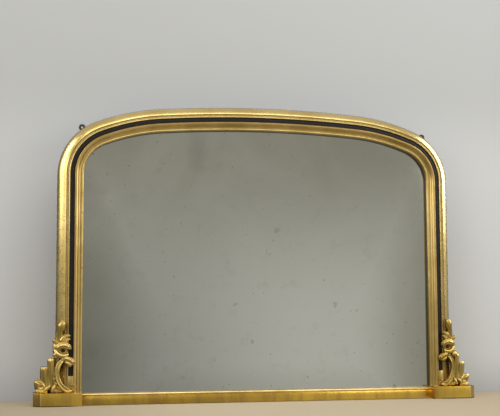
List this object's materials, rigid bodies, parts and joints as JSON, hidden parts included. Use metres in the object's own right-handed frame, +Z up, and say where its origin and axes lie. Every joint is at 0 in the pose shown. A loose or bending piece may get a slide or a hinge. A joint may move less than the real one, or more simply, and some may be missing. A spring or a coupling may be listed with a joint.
{
  "type": "arched gilt overmantel mirror",
  "caption": "Arched overmantel mirror in a gilt and ebonised moulded frame, with plinth blocks, carved corner scrolls, pine backboards and wall hangers.",
  "frame": {"origin": "under the middle of the base, at the middle of the frame's width and depth, on the plane it stands on", "axes": "front faces -Y, +X runs to the viewer's right along the base, +Z up the arch"},
  "size_m": [1.5, 0.092, 0.9983],
  "materials": {
    "gilt": "gold leaf over bole and gesso on wood, rubbed and toned",
    "ebonised": "ebonised wood, satin polish",
    "pine": "old bare pine, oxidised",
    "softwood": "small bare softwood blocks",
    "aged_mirror": "old silvered plate glass, faintly grey-green with foxing",
    "dark_iron": "blackened iron, lightly rusted",
    "steel_screw": "old slotted steel screws and nails, dulled"
  },
  "bodies": {
    "root": {"left_stile_core": "pine", "right_stile_core": "pine", "left_shoulder_core": "pine", "right_shoulder_core": "pine", "head_core": "pine", "cross_rail": "pine", "carcass_tongues": "softwood", "left_outer_stile": "gilt", "right_outer_stile": "gilt", "left_outer_shoulder": "gilt", "right_outer_shoulder": "gilt", "left_outer_haunch": "gilt", "right_outer_haunch": "gilt", "outer_crown": "gilt", "left_slip_stile": "ebonised", "right_slip_stile": "ebonised", "left_slip_shoulder": "ebonised", "right_slip_shoulder": "ebonised", "left_slip_haunch": "ebonised", "right_slip_haunch": "ebonised", "slip_crown": "ebonised", "left_sight_stile": "gilt", "right_sight_stile": "gilt", "left_sight_shoulder": "gilt", "right_sight_shoulder": "gilt", "left_sight_haunch": "gilt", "right_sight_haunch": "gilt", "sight_crown": "gilt", "left_stile_foot": "gilt", "right_stile_foot": "gilt", "left_plinth_block": "gilt", "right_plinth_block": "gilt", "bottom_rail": "gilt", "rail_bead": "gilt", "block_screws": "steel_screw", "mirror_plate": "aged_mirror", "glazing_blocks": "softwood", "setting_blocks": "softwood", "backboard_1": "pine", "backboard_2": "pine", "backboard_3": "pine", "backboard_4": "pine", "backboard_nails": "steel_screw", "left_hanger": "dark_iron", "right_hanger": "dark_iron", "hanger_screws": "steel_screw", "left_scroll": "gilt", "right_scroll": "gilt", "left_bud": "gilt", "right_bud": "gilt", "left_crest_leaf": "gilt", "right_crest_leaf": "gilt", "left_leafage": "gilt", "right_leafage": "gilt", "left_foot_leaf": "gilt", "right_foot_leaf": "gilt"}
  },
  "joints": []
}
